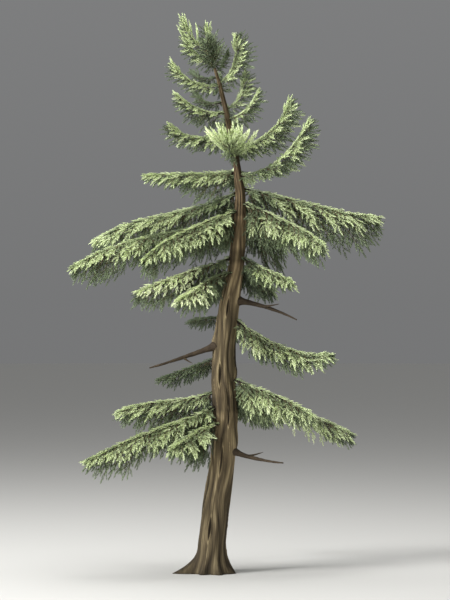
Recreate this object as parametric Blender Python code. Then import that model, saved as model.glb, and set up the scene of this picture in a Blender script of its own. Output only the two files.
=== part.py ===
"""Norway spruce, an old open-grown tree about 12 m tall, rooted at a flat cut at ground level.

The trunk is one tapering solid on the origin, +Z up. Boughs leave it by height and azimuth (0 is +X, 90 is +Y).
The largest ones begin as a bare limb, and each bough's foliage is one solid: a stem, its side twigs and sprays
of needles. The upper boughs sweep up like bows, the lower ones droop, and three dead limbs are bare.
"""

import math
import random

import bmesh
import bpy
import numpy as np
from mathutils import Vector

# Trunk: height, centre x, centre y and radius, all in metres.
TRUNK = (
    (0.00, 0.00, 0.00, 0.300),
    (0.70, 0.04, 0.00, 0.292),
    (1.50, 0.14, 0.03, 0.290),
    (2.40, 0.27, 0.05, 0.262),
    (3.30, 0.33, 0.04, 0.258),
    (4.10, 0.29, 0.00, 0.262),
    (4.90, 0.31, -0.03, 0.240),
    (5.75, 0.41, -0.04, 0.210),
    (6.60, 0.56, -0.02, 0.164),
    (7.50, 0.64, 0.02, 0.146),
    (8.15, 0.65, 0.05, 0.104),
    (8.70, 0.58, 0.06, 0.078),
    (9.40, 0.45, 0.05, 0.068),
    (10.00, 0.32, 0.03, 0.054),
    (10.50, 0.20, 0.01, 0.042),
    (10.90, 0.07, 0.00, 0.031),
    (11.20, -0.09, 0.00, 0.022),
)
TRUNK_SIDES = 16
FOOT_RINGS = (0.0, 0.05, 0.12, 0.21, 0.33, 0.49, 0.70)
RING_STEP = 0.50
# Root toes: azimuth, reach beyond the trunk, height, half width in degrees.
TOES = (
    (185, 0.52, 0.56, 19),
    (352, 0.27, 0.74, 26),
    (300, 0.17, 0.50, 17),
    (245, 0.13, 0.45, 18),
    (120, 0.20, 0.55, 22),
    (60, 0.22, 0.60, 20),
)
# Swellings (and two long hollows) of the bark: height, azimuth, size, half width in degrees, half height.
SWELLINGS = (
    (4.30, 345, 0.045, 26, 0.16),
    (2.85, 350, 0.030, 40, 0.22),
    (4.98, 195, 0.035, 26, 0.14),
    (5.85, 340, 0.030, 28, 0.14),
    (2.72, 335, 0.030, 24, 0.12),
    (4.20, 258, -0.035, 13, 0.26),
    (0.95, 262, -0.035, 11, 0.32),
)

# Boughs with foliage: name, root height, azimuth, reach, rise, slope at the root, slope at the tip, length of the
# hanging sprays, length of the side sprays, length of the bare limb (0 for none).
BOUGHS = (
    ("leader_tip", 11.12, 182, 0.56, 0.68, 44, 74, 0.54, 0.40, 0),
    ("crown_left", 10.92, 178, 0.66, 0.62, 22, 76, 0.30, 0.36, 0),
    ("crown_upright", 11.00, 200, 0.10, 0.78, 70, 88, 0.34, 0.32, 0),
    ("crown_front", 10.80, 250, 0.42, 0.60, 20, 80, 0.36, 0.40, 0),
    ("crown_back", 10.90, 86, 0.40, 0.54, 20, 80, 0.32, 0.42, 0),
    ("high_right_back", 10.74, 40, 0.34, 0.44, 20, 60, 0.18, 0.18, 0),
    ("top_left", 10.50, 188, 1.06, 0.46, -12, 60, 0.40, 0.32, 0),
    ("top_left_back", 10.62, 135, 0.84, 0.20, -8, 40, 0.20, 0.22, 0),
    ("top_right", 10.44, 350, 0.34, 1.00, -18, 112, 0.44, 0.40, 0),
    ("top_back", 10.38, 80, 0.70, 0.36, -5, 55, 0.28, 0.28, 0),
    ("second_right", 9.95, 25, 0.47, 0.80, 8, 80, 0.38, 0.30, 0),
    ("second_left", 9.84, 190, 1.20, 0.43, -8, 46, 0.40, 0.32, 0),
    ("second_left_back", 10.10, 142, 0.84, 0.26, -15, 50, 0.24, 0.26, 0),
    ("second_right_front", 9.74, 332, 0.74, 0.55, 0, 68, 0.34, 0.30, 0),
    ("second_back", 9.66, 92, 1.00, 0.42, -5, 50, 0.32, 0.32, 0),
    ("third_left", 9.29, 188, 1.46, 0.43, -5, 55, 0.40, 0.36, 0),
    ("third_front", 9.02, 267, 0.86, 0.44, -10, 70, 0.46, 1.00, 0),
    ("third_right", 9.00, 350, 1.24, 1.12, 14, 74, 0.70, 0.56, 0),
    ("third_back", 9.13, 84, 1.35, 0.38, -10, 50, 0.36, 0.38, 0),
    ("fourth_left", 8.60, 174, 2.00, -0.02, -5, 2, 0.72, 0.46, 0),
    ("fourth_right", 8.52, 333, 1.78, 1.16, -4, 64, 0.70, 0.54, 0),
    ("fourth_back", 8.66, 92, 1.80, 0.10, -10, 15, 0.42, 0.42, 0),
    ("mid_left_high", 8.18, 165, 3.34, -1.03, -23, -28, 0.74, 0.62, 0.20),
    ("mid_right_high", 8.25, 6, 3.04, -0.58, -13, -4, 1.04, 0.60, 0.20),
    ("mid_right_front", 7.96, 322, 2.28, -0.92, -16, -30, 0.90, 0.56, 0.18),
    ("mid_left_front", 7.86, 224, 2.56, -1.12, -16, -34, 1.00, 0.58, 0.20),
    ("mid_left_long", 7.58, 192, 3.64, -1.06, -16, -25, 1.02, 0.64, 0.24),
    ("mid_back", 8.02, 98, 2.60, -0.85, -12, -30, 0.66, 0.58, 0),
    ("mid_right_back", 7.56, 42, 1.44, -0.60, -14, -30, 0.84, 0.56, 0),
    ("mid_left_back", 7.52, 132, 2.00, -0.50, -8, -16, 0.46, 0.50, 0),
    ("low_left", 6.68, 197, 2.22, -0.62, -18, -14, 0.66, 0.52, 0.16),
    ("low_left_front", 6.42, 234, 2.08, -0.64, -10, -24, 0.74, 0.54, 0),
    ("low_right_front", 6.80, 316, 1.60, -0.60, -13, -22, 0.54, 0.48, 0),
    ("low_right_back", 6.58, 60, 1.70, -0.70, -12, -40, 0.58, 0.46, 0),
    ("low_back", 6.46, 112, 1.80, -0.50, -10, -26, 0.50, 0.50, 0),
    ("small_left_back", 5.52, 146, 1.05, -0.12, -5, -15, 0.26, 0.28, 0),
    ("lone_right", 5.56, 343, 2.30, -0.80, -37, 6, 0.86, 0.54, 0.14),
    ("lone_back", 5.40, 88, 1.70, -0.36, -10, -14, 0.38, 0.32, 0),
    ("shade_left_back", 4.62, 157, 1.66, -0.50, -14, -20, 0.42, 0.40, 0),
    ("skirt_left_high", 3.98, 170, 2.38, -0.48, -22, -4, 0.80, 0.52, 0.18),
    ("skirt_left_long", 3.66, 203, 3.16, -1.16, -27, -22, 0.90, 0.62, 0.20),
    ("skirt_left_front", 3.26, 234, 1.90, -0.52, -12, -28, 0.80, 0.54, 0),
    ("skirt_right_front", 4.18, 328, 2.20, -0.70, -18, -20, 0.76, 0.52, 0),
    ("skirt_right_long", 3.94, 8, 2.84, -0.92, -18, -22, 0.74, 0.56, 0.18),
    ("skirt_right_back", 3.98, 66, 2.40, -0.80, -12, -30, 0.60, 0.52, 0),
    ("skirt_left_back", 3.62, 120, 2.40, -0.85, -12, -32, 0.60, 0.52, 0),
)
# Dead limbs, bare of needles: name, root height, azimuth, reach, rise, slopes at root and tip, then where along
# it the side twig leaves, its length, its turn to the side and its rise in degrees.
DEAD_LIMBS = (
    ("dead_limb_right_high", 5.85, 341, 1.50, -0.42, -4, -24, 0.48, 0.36, -24, 8),
    ("dead_limb_left", 4.98, 196, 1.66, -0.54, -22, -16, 0.50, 0.24, 150, -30),
    ("dead_limb_right_low", 2.72, 336, 1.40, -0.32, -26, -2, 0.40, 0.36, 24, 14),
)

BOW = 0.36  # how stiffly a bough's line leaves and arrives, in lengths of its chord
SWAY, SWAY_TURNS = 0.03, 1.3  # its wander to the sides, in lengths of its reach, and how often
STEM_SIDES = 5
STEM_RADIUS = (0.012, 0.0105)  # at the root: a constant and a share of the reach
STEM_TAPER = 0.78
COLLAR, COLLAR_LENGTH = 0.4, 0.10  # how much thicker a bough is at the bark, and how soon that fades
MOST_THICK = 0.55  # of the trunk's own radius
DEAD_GIRTH = 2.2  # a dead limb is an old one, and so much thicker than a live one of its reach
BIG_REACH = 1.9
BIG_STOPS, SMALL_STOPS = 6, 5
BIG_STEP, SMALL_STEP = 0.54, 0.40  # between pairs of sprays
CORE_SHARE = 0.46  # width and depth of the dense inside, in lengths of the sprays
CORE_FROM, CORE_TO = 0.06, 0.96  # where it begins past the bark, and ends along the bough
CORE_END = 0.3  # how thin it is at both ends
CORE_SHOULDER, CORE_LIFT = 0.45, (1.3, 0.08)  # how low its sides are, and how far its top stands over the stem
FIRST_SPRAY, LAST_SPRAY = 0.08, 0.93  # where sprays begin past the bark, and end along the bough
STEM_SHOWN = 0.24  # share of a plume that has its stem modelled, the rest being inside the core
ROOT_SHARE = 0.02
TWIG_RADIUS, TWIG_LENGTH = 0.011, 0.75
TIP_FROM, TIP_LENGTH = 0.86, (0.14, 0.12)  # the last spray: its root along the bough, and its length
LEAN, TILT = 0.10, 28  # how much sprays differ in direction, and in degrees of turn
LENGTHS = (0.90, 1.12)
STAGGER, SCATTER = 0.25, 0.12  # of a pair's two sprays along the bough, in steps
# One edge of a spray of needles from its root to its tip, along and across, in lengths of the spray.
SPRAY_EDGE = ((0.0, 0.07), (0.56, 0.27), (0.66, 0.13))
HANGING_DROOP = (60, 88)  # degrees below the level
SPREAD_DROOP, RISING_LIFT = (14, 32), 62  # the same, and how far a bough that sweeps up lifts it
FORWARD = (46, 60)  # degrees between the bough and its sprays, in its middle
ROOT_OPENING, ROOT_PART = 60, 0.25  # more open near the trunk
TIP_CLOSING, TIP_PART = 45, 0.60  # more closed near the tip
MIDDLE_FORWARD = math.radians(53)
SPRAY_RIDGE = 0.58
SPRAY_THICK = 0.026
SPRAY_BEND = 0.14

SEAT_GAP = 0.0003
BARK_GROWTH = 0.0004
OWN_SPACE = 0.012
SEED = 7

BARK = (0.16, 0.125, 0.08)
DEAD_WOOD = (0.13, 0.10, 0.07)
FOLIAGE = (0.20, 0.25, 0.12)
DOWN = Vector((0, 0, -1))


def clear_scene():
    for obj in list(bpy.data.objects):
        bpy.data.objects.remove(obj, do_unlink=True)


def paint(obj, colour, roughness):
    material = bpy.data.materials.new(obj.name + "_look")
    material.use_nodes = True
    surface = material.node_tree.nodes["Principled BSDF"]
    surface.inputs["Base Color"].default_value = (*colour, 1)
    surface.inputs["Roughness"].default_value = roughness
    obj.data.materials.clear()
    obj.data.materials.append(material)


def solid(name, points, faces, smooth=False):
    mesh = bpy.data.meshes.new(name)
    mesh.from_pydata([tuple(p) for p in points], [], faces)
    mesh.validate()
    mesh.polygons.foreach_set("use_smooth", [smooth] * len(mesh.polygons))
    obj = bpy.data.objects.new(name, mesh)
    bpy.context.scene.collection.objects.link(obj)
    return obj


def drop_scraps(obj):
    """Leaves the piece with the most vertices."""
    mesh = bmesh.new()
    mesh.from_mesh(obj.data)
    loose, bodies = set(mesh.verts), []
    while loose:
        body, edge = set(), {loose.pop()}
        while edge:
            body |= edge
            edge = {e.other_vert(v) for v in edge for e in v.link_edges} - body
        bodies.append(body)
        loose -= body
    bodies.sort(key=len)
    bmesh.ops.delete(mesh, geom=[v for body in bodies[:-1] for v in body], context="VERTS")
    mesh.to_mesh(obj.data)
    mesh.free()


def apply_boolean(base, operation, others):
    """Unites the others with the base, or cuts them from it, and drops any scrap that comes loose."""
    heap = bpy.data.collections.new("heap")
    bpy.context.scene.collection.children.link(heap)
    for other in others:
        heap.objects.link(other)
    boolean = base.modifiers.new("join", "BOOLEAN")
    boolean.operation, boolean.solver = operation, "MANIFOLD"
    boolean.operand_type, boolean.collection = "COLLECTION", heap
    with bpy.context.temp_override(object=base, active_object=base):
        bpy.ops.object.modifier_apply(modifier=boolean.name)
    bpy.data.collections.remove(heap)
    drop_scraps(base)


# ---- trunk ----


def trunk_at(height):
    rows = np.array(TRUNK)
    return tuple(float(np.interp(height, rows[:, 0], rows[:, k])) for k in (1, 2, 3))


def turn_between(a, b):
    return (a - b + 180) % 360 - 180


def trunk_reach(height, azimuth):
    """Distance from the trunk's centre line to its bark."""
    reach = trunk_at(height)[2]
    for toe, far, tall, wide in TOES:
        if height < tall:
            lobe = math.exp(-((turn_between(azimuth, toe) / wide) ** 2))
            reach += far * lobe * (1 - height / tall) ** 2.2
    for middle, side, size, wide, tall in SWELLINGS:
        off = (turn_between(azimuth, side) / wide) ** 2 + ((height - middle) / tall) ** 2
        reach += size * math.exp(-off)
    return reach


def trunk_solid(name, grow=0.0):
    top = TRUNK[-1][0]
    count = round((top - FOOT_RINGS[-1]) / RING_STEP)
    levels = list(FOOT_RINGS) + [
        FOOT_RINGS[-1] + (top - FOOT_RINGS[-1]) * (k + 1) / count for k in range(count)
    ]
    points = []
    for k, level in enumerate(levels):
        x, y, _ = trunk_at(level)
        z = level + grow if k == len(levels) - 1 else level - grow if k == 0 else level
        for side in range(TRUNK_SIDES):
            azimuth = 360 * side / TRUNK_SIDES
            reach = trunk_reach(level, azimuth) + grow / math.cos(math.pi / TRUNK_SIDES)
            turn = math.radians(azimuth)
            points.append((x + reach * math.cos(turn), y + reach * math.sin(turn), z))
    n = TRUNK_SIDES
    faces = [tuple(reversed(range(n))), tuple(range(len(points) - n, len(points)))]
    for ring in range(len(levels) - 1):
        for side in range(n):
            a, b = ring * n + side, ring * n + (side + 1) % n
            faces += [(a, b, b + n), (a, b + n, a + n)]
    return solid(name, points, faces, smooth=True)


# ---- boughs ----


class Bough:
    """The centre line of a bough, in the upright plane of its azimuth, from the trunk's heart to its tip."""

    def __init__(self, height, azimuth, reach, rise, root_slope, tip_slope, girth=1.0):
        x, y, bark = trunk_at(height)
        turn = math.radians(azimuth)
        self.out = Vector((math.cos(turn), math.sin(turn), 0))
        self.side = Vector((-math.sin(turn), math.cos(turn), 0))
        handle = BOW * math.hypot(reach, rise)
        a, b = math.radians(root_slope), math.radians(tip_slope)
        flat = (
            (0, 0),
            (handle * math.cos(a), handle * math.sin(a)),
            (reach - handle * math.cos(b), rise - handle * math.sin(b)),
            (reach, rise),
        )
        root = Vector((x, y, height))
        self.line = []
        stops = BIG_STOPS if reach > BIG_REACH else SMALL_STOPS
        for k in range(stops + 1):
            t = k / stops
            share = ((1 - t) ** 3, 3 * t * (1 - t) ** 2, 3 * t * t * (1 - t), t**3)
            along, up = (sum(w * p[i] for w, p in zip(share, flat)) for i in (0, 1))
            sway = SWAY * reach * math.sin(2 * SWAY_TURNS * math.pi * t + azimuth) * t
            self.line.append(root + along * self.out + up * -DOWN + sway * self.side)
        steps = [(q - p).length for p, q in zip(self.line, self.line[1:])]
        self.far = [sum(steps[:k]) for k in range(stops + 1)]
        self.length = self.far[-1]
        self.bark = bark
        self.radius = girth * (STEM_RADIUS[0] + STEM_RADIUS[1] * reach)

    def at(self, distance):
        columns = np.array(self.line)
        return Vector([float(np.interp(distance, self.far, columns[:, k])) for k in range(3)])

    def ahead(self, distance):
        step = 0.03 * self.length
        return (self.at(distance + step) - self.at(distance - step)).normalized()

    def under(self, distance):
        """Down, leaning to the outer side where the bough sweeps up."""
        return (self.side.cross(self.ahead(distance)) + 0.5 * DOWN).normalized()

    def thick(self, distance):
        flare = 1 + COLLAR * math.exp(-max(0, distance - self.bark) / COLLAR_LENGTH)
        taper = 1 - STEM_TAPER * distance / self.length
        return min(self.radius * taper * flare, MOST_THICK * self.bark)


def tube(name, stops, aheads, radii, across, sides, smooth=False):
    """A tapering rod through the stops, each ring square to its own direction."""
    points = []
    for k, (stop, ahead) in enumerate(zip(stops, aheads)):
        first = (across - across.dot(ahead) * ahead).normalized()
        second = ahead.cross(first)
        for side in range(sides):
            turn = 2 * math.pi * side / sides
            points.append(stop + radii[k] * (math.cos(turn) * first + math.sin(turn) * second))
    n = sides
    faces = [tuple(reversed(range(n))), tuple(range(len(points) - n, len(points)))]
    for ring in range(len(stops) - 1):
        for side in range(n):
            a, b = ring * n + side, ring * n + (side + 1) % n
            faces.append((a, b, b + n, a + n))
    return solid(name, points, faces, smooth)


def stem(name, bough, start, end, sides, smooth=False):
    """A bough's wood from one distance to another."""
    marks = [start] + [far for far in bough.far if start + 0.05 < far < end - 0.05] + [end]
    stops, aheads = [bough.at(mark) for mark in marks], [bough.ahead(mark) for mark in marks]
    radii = [bough.thick(mark) for mark in marks]
    return tube(name, stops, aheads, radii, bough.side, sides, smooth)


def spray_points(root, along, across, length):
    """Outline of a spray, then the highest and lowest point of its ridge."""
    normal = along.cross(across).normalized()
    if normal.z < 0:
        normal = -normal

    def place(u, v, w=0.0):
        return root + length * (u * along + v * across + (w - SPRAY_BEND * u * u) * normal)

    outline = [place(u, v) for u, v in SPRAY_EDGE] + [place(1, 0)]
    outline += [place(u, -v) for u, v in reversed(SPRAY_EDGE)]
    return outline + [place(SPRAY_RIDGE, 0, SPRAY_THICK), place(SPRAY_RIDGE, 0, -SPRAY_THICK)]


def spray_solid(points):
    n = len(points) - 2
    top, low = points[n], points[n + 1]
    upward = sum(
        ((points[k] - top).cross(points[(k + 1) % n] - top) for k in range(n)), Vector()
    ).dot(top - low)
    faces = []
    for k in range(n):
        a, b = (k, (k + 1) % n) if upward > 0 else ((k + 1) % n, k)
        faces += [(a, b, n), (b, a, n + 1)]
    return solid("spray", points, faces)


class Crown:
    """Every bough's centre line, so that a spray keeps to the space nearest its own."""

    def __init__(self, boughs):
        self.lines = {
            name: np.array([bough.at(mark) for mark in np.linspace(bough.bark, bough.length, 40)])
            for name, bough in boughs.items()
        }
        self.names = list(self.lines)
        self.seats = {}

    def free(self, name, points, bark_gap=0.03):
        """Whether the points are nearer this bough's line than any other's, and clear of its seat and the bark."""
        points = np.array(points)
        seat, onward = self.seats[name]
        if ((points - seat) @ onward < 0.01).any():
            return False
        own = self.gap(points, self.lines[name])
        for other in self.names:
            if other != name and (self.gap(points, self.lines[other]) < own + OWN_SPACE).any():
                return False
        for x, y, z in points:
            cx, cy, bark = trunk_at(z)
            if math.hypot(x - cx, y - cy) < bark + bark_gap:
                return False
        return bool((points[:, 2] > 0.3).all())

    @staticmethod
    def gap(points, line):
        return np.linalg.norm(points[:, None] - line[None], axis=2).min(axis=1)


def fullness(t):
    """Share of the full spray length along a bough: short at its root, longest at a third, short at its tip."""
    return float(np.interp(t, (0, 0.1, 0.34, 0.72, 0.9, 1), (0.84, 1, 1, 0.86, 0.54, 0.26)))


def try_spray(crown, name, root, ahead, aim, length, dice):
    """A spray that keeps its own space, shortened or turned a little where it must be, or none."""
    for shrink in (1, 0.86, 0.72, 0.58):
        along = (aim + LEAN * Vector([dice.uniform(-1, 1) for _ in range(3)])).normalized()
        across = (ahead - ahead.dot(along) * along).normalized()
        tilt = math.radians(dice.uniform(-TILT, TILT))
        across = math.cos(tilt) * across + math.sin(tilt) * along.cross(across)
        points = spray_points(root, along, across, length * shrink)
        if crown.free(name, points[2:]):
            return spray_solid(points)
    return None


def core_solid(name, bough, start, hang, spread, crown):
    """The dense inside of a plume: four-cornered sections hung under the stem, thin at both ends."""
    first = max(start, bough.bark) + CORE_FROM
    last = CORE_TO * bough.length
    marks = [first] + [far for far in bough.far if first + 0.1 < far < last - 0.06] + [last]
    points = []
    for mark in marks:
        heart, thick = bough.at(mark), bough.thick(mark)
        low = bough.side.cross(bough.ahead(mark))
        full = fullness((mark - first) / (bough.length - first))
        full *= CORE_END if mark in (marks[0], marks[-1]) else 1
        for shrink in (1, 0.85, 0.7, 0.55, 0.4, 0.2):
            wide = CORE_SHARE * spread * full * shrink + thick
            deep = CORE_SHARE * hang * full * shrink + thick
            lift = CORE_LIFT[0] * thick + CORE_LIFT[1] * deep
            section = [
                heart - lift * low,
                heart - wide * bough.side + CORE_SHOULDER * deep * low,
                heart + deep * low,
                heart + wide * bough.side + CORE_SHOULDER * deep * low,
            ]
            if crown.free(name, section, 0.01):
                break
        points += section
    faces = [(3, 2, 1, 0), tuple(range(len(points) - 4, len(points)))]
    for ring in range(len(marks) - 1):
        for side in range(4):
            a, b = ring * 4 + side, ring * 4 + (side + 1) % 4
            faces.append((a, b, b + 4, a + 4))
    return solid("core", points, faces)


def foliage(name, bough, start, hang, spread, crown, dice):
    """A bough's stem, its side twigs and its sprays of needles round a slim core, as one solid."""
    big = bough.length > BIG_REACH
    crown.seats[name] = np.array(bough.at(start)), np.array(bough.ahead(start))
    first = max(start, bough.bark) + FIRST_SPRAY
    room = bough.length - first
    base = stem(name, bough, start, first + STEM_SHOWN * room, STEM_SIDES if big else 4)
    pieces = [core_solid(name, bough, start, hang, spread, crown)]
    pairs = max(3, round(room / (BIG_STEP if big else SMALL_STEP)))
    for k in range(pairs):
        for hand in (-1, 1):
            mark = k + 0.45 + STAGGER * hand + dice.uniform(-SCATTER, SCATTER)
            mark = first + room * mark / pairs
            mark = min(max(mark, first), bough.length * LAST_SPRAY)
            t = (mark - first) / room
            ahead, low, side = bough.ahead(mark), bough.under(mark), hand * bough.side
            lower = (k + (hand > 0)) % 2 == 0
            rising = max(0, math.asin(ahead.z))
            if lower:
                droop = math.radians(dice.uniform(*HANGING_DROOP))
            else:
                droop = math.radians(dice.uniform(*SPREAD_DROOP) - RISING_LIFT * rising)
            forward = dice.uniform(*FORWARD)
            forward += ROOT_OPENING * max(0, ROOT_PART - t) - TIP_CLOSING * max(0, t - TIP_PART)
            forward = math.radians(forward)
            aim = math.cos(forward) * ahead + math.sin(forward) * (
                math.cos(droop) * side + math.sin(droop) * low
            )
            length = (hang if lower else spread) * fullness(t) * dice.uniform(*LENGTHS)
            length /= math.sin(MIDDLE_FORWARD)
            root = bough.at(mark) + ROOT_SHARE * length * aim
            if big and not lower and k % 3 == 0:
                twig = [bough.at(mark), bough.at(mark) + TWIG_LENGTH * length * aim]
                if crown.free(name, twig[1:]):
                    radii = [TWIG_RADIUS, 0.6 * TWIG_RADIUS]
                    pieces.append(tube("twig", twig, [aim, aim], radii, low, 3))
            pieces.append(try_spray(crown, name, root, ahead, aim, (1 - ROOT_SHARE) * length, dice))
    tip = bough.ahead(bough.length * 0.96)
    across = bough.side if dice.random() < 0.5 else bough.under(bough.length)
    root = bough.at(bough.length * TIP_FROM)
    length = TIP_LENGTH[0] * bough.length + TIP_LENGTH[1]
    pieces.append(try_spray(crown, name, root, across, tip, length, dice))
    pieces = [piece for piece in pieces if piece]
    apply_boolean(base, "UNION", pieces)
    for piece in pieces:
        bpy.data.objects.remove(piece, do_unlink=True)
    return base


def dead_limb(name, bough, mark, length, turn, rise):
    """A bare limb with one side twig."""
    base = stem(name, bough, 0, bough.length, 6, smooth=True)
    root = bough.at(mark * bough.length)
    swing = math.radians(turn)
    aim = math.cos(swing) * bough.out + math.sin(swing) * bough.side
    aim = (aim - math.tan(math.radians(rise)) * DOWN).normalized()
    stops = [root, root + 0.5 * length * aim + 0.02 * DOWN, root + length * aim]
    thick = 0.7 * bough.thick(mark * bough.length)
    twig = tube("side_twig", stops, [aim] * 3, [thick, 0.6 * thick, 0.2 * thick], bough.side, 5)
    apply_boolean(base, "UNION", [twig])
    bpy.data.objects.remove(twig, do_unlink=True)
    return base


def main():
    clear_scene()
    trunk = trunk_solid("trunk")
    paint(trunk, BARK, 0.9)
    bark = trunk_solid("bark_clearance", BARK_GROWTH)
    bark.hide_render = True
    bark.display_type = "WIRE"

    boughs = {row[0]: Bough(*row[1:7]) for row in BOUGHS}
    dead = {row[0]: Bough(*row[1:7], girth=DEAD_GIRTH) for row in DEAD_LIMBS}
    crown = Crown({**boughs, **dead})
    for number, (name, *_, hang, spread, bare) in enumerate(BOUGHS):
        bough, start = boughs[name], 0.0
        if bare:
            start = bough.bark + bare
            limb = stem(name + "_limb", bough, 0, start, 7, smooth=True)
            apply_boolean(limb, "DIFFERENCE", [bark])
            paint(limb, BARK, 0.9)
            start += SEAT_GAP
        mass = foliage(name, bough, start, hang, spread, crown, random.Random(SEED + number))
        if not bare:
            apply_boolean(mass, "DIFFERENCE", [bark])
        paint(mass, FOLIAGE, 0.7)
    for name, *_, mark, length, turn, rise in DEAD_LIMBS:
        limb = dead_limb(name, dead[name], mark, length, turn, rise)
        apply_boolean(limb, "DIFFERENCE", [bark])
        paint(limb, DEAD_WOOD, 0.9)
    bpy.data.objects.remove(bark, do_unlink=True)


main()
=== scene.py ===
# %% [markdown]
# # A Norway spruce, dressed
#
# A spruce stands ready as plain solids: a trunk, bare limbs and closed masses of foliage. They give the
# size and the place of everything. This script adds what the eye looks for on a real spruce: bark with
# flowing strands, boughs of wood, hanging twigs and several hundred thousand needles.
#
# The solids are loaded first. They stay where they are, in metres, with +Z up and the origin at the foot of
# the trunk, and every piece made below is fitted to them.

# %% Load the solids
import random
from math import cos, exp, hypot, pi, radians, sin, tan

import bpy
import numpy as np
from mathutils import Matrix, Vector


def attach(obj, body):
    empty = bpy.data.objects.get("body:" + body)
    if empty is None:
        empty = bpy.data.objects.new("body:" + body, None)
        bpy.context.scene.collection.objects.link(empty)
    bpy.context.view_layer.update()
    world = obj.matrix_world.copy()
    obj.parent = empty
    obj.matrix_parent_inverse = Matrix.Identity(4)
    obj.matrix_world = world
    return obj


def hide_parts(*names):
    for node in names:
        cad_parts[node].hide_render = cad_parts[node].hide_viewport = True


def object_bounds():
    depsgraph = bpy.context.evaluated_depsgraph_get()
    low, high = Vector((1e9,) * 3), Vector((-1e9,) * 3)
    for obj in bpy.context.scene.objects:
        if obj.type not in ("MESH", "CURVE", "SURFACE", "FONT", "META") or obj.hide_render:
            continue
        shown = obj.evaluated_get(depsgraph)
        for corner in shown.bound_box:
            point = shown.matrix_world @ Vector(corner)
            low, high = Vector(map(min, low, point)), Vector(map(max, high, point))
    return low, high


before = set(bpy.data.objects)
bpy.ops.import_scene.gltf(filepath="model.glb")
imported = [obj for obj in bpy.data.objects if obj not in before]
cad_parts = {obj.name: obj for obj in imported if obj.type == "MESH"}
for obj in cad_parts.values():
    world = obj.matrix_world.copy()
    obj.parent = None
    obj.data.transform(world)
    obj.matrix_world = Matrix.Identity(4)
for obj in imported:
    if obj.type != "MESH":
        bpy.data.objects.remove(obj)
solid_box = [list(corner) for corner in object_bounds()]
bpy.ops.object.select_all(action="DESELECT")
print(len(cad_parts), "solids in a box of", [round(b - a, 2) for a, b in zip(*solid_box)], "m")

# %% [markdown]
# ## Camera
#
# A long lens looks at the tree from far away and from half its height, so that its upright lines stay
# upright and the lower boughs aren't seen from above. The size of a sensor counts along the longer side of
# the picture, which is its height here.

# %% Camera
CAMERA_PLACE = (0.321, -48.2, 5.85)
LENS, SENSOR = 135, 36

bpy.ops.object.camera_add(location=CAMERA_PLACE, rotation=(pi / 2, 0, 0))
camera = bpy.context.object
camera.data.lens, camera.data.sensor_width = LENS, SENSOR
camera.data.clip_end = 400
bpy.context.scene.camera = camera
print("picture height at the trunk:", round(-CAMERA_PLACE[1] * SENSOR / LENS, 2), "m")

# %% [markdown]
# ## Floor and light
#
# A plain pale floor and large soft lights, as in a studio. The key light stands high on the left, in front
# of the tree, so that the upper side of each bough is bright and its hanging side falls into shade. A small
# low one lights the left of the trunk, which the boughs keep from the key light. One in front reaches the
# bark and the hanging twigs. A weak one on the right keeps the trunk's dark side readable, and one overhead
# rims the boughs. The grey of the world fills the rest. At the horizon it is as bright as the far floor, so
# that no edge shows there.


# %% Floor and light
def linear(colour):
    """A colour of 0 to 255 a channel, as a screen shows it, in the amounts of light that a shader takes."""
    return tuple(((c / 255 + 0.055) / 1.055) ** 2.4 if c > 10 else c / 3295 for c in colour)


def plain(name, colour, roughness):
    material = bpy.data.materials.new(name)
    material.use_nodes = True
    surface = material.node_tree.nodes["Principled BSDF"]
    surface.inputs["Base Color"].default_value = (*linear(colour), 1)
    surface.inputs["Roughness"].default_value = roughness
    return material


FLOOR_RADIUS = 160
HORIZON_LIGHT, ZENITH_LIGHT = 0.185, 0.37
LIGHTS = (  # name, place, side in metres, power in watts
    ("key", (-25, -15, 20), 9, 13200),
    ("low", (-24, -9, 2.6), 5, 1500),
    ("front", (-10, -29, 8), 8, 2000),
    ("fill", (19, -16, 9), 12, 350),
    ("overhead", (2, 1, 27), 14, 4000),
)

bpy.ops.mesh.primitive_circle_add(vertices=96, radius=FLOOR_RADIUS, fill_type="NGON")
floor = bpy.context.object
floor.name = "floor"
floor.data.materials.append(plain("floor_paint", (201, 200, 196), 0.9))

tree_heart = Vector((0.3, 0, 6.5))
for name, place, side, power in LIGHTS:
    aim = (tree_heart - Vector(place)).to_track_quat("-Z", "Y").to_euler()
    bpy.ops.object.light_add(type="AREA", location=place, rotation=aim)
    lamp = bpy.context.object
    lamp.name = name
    lamp.data.size, lamp.data.energy = side, power

world = bpy.data.worlds.new("studio")
world.use_nodes = True
sky, sky_links = world.node_tree.nodes, world.node_tree.links
sky["Background"].inputs["Color"].default_value = (0.98, 0.99, 1, 1)
direction, parts = sky.new("ShaderNodeTexCoord"), sky.new("ShaderNodeSeparateXYZ")
height_to_light = sky.new("ShaderNodeMapRange")
height_to_light.inputs["To Min"].default_value = HORIZON_LIGHT
height_to_light.inputs["To Max"].default_value = ZENITH_LIGHT
sky_links.new(direction.outputs["Generated"], parts.inputs["Vector"])
sky_links.new(parts.outputs["Z"], height_to_light.inputs["Value"])
sky_links.new(height_to_light.outputs["Result"], sky["Background"].inputs["Strength"])
bpy.context.scene.world = world
bpy.context.scene.view_settings.view_transform = "Standard"
print(len(LIGHTS), "lights")

# %% [markdown]
# ## The sizes that drive the tree
#
# The solids were made from these sizes: a list of heights for the trunk, and a line of numbers for each
# bough. Lengths are in metres. Directions are in degrees: 0 is +X, 90 is +Y, and slopes are from level.

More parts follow.
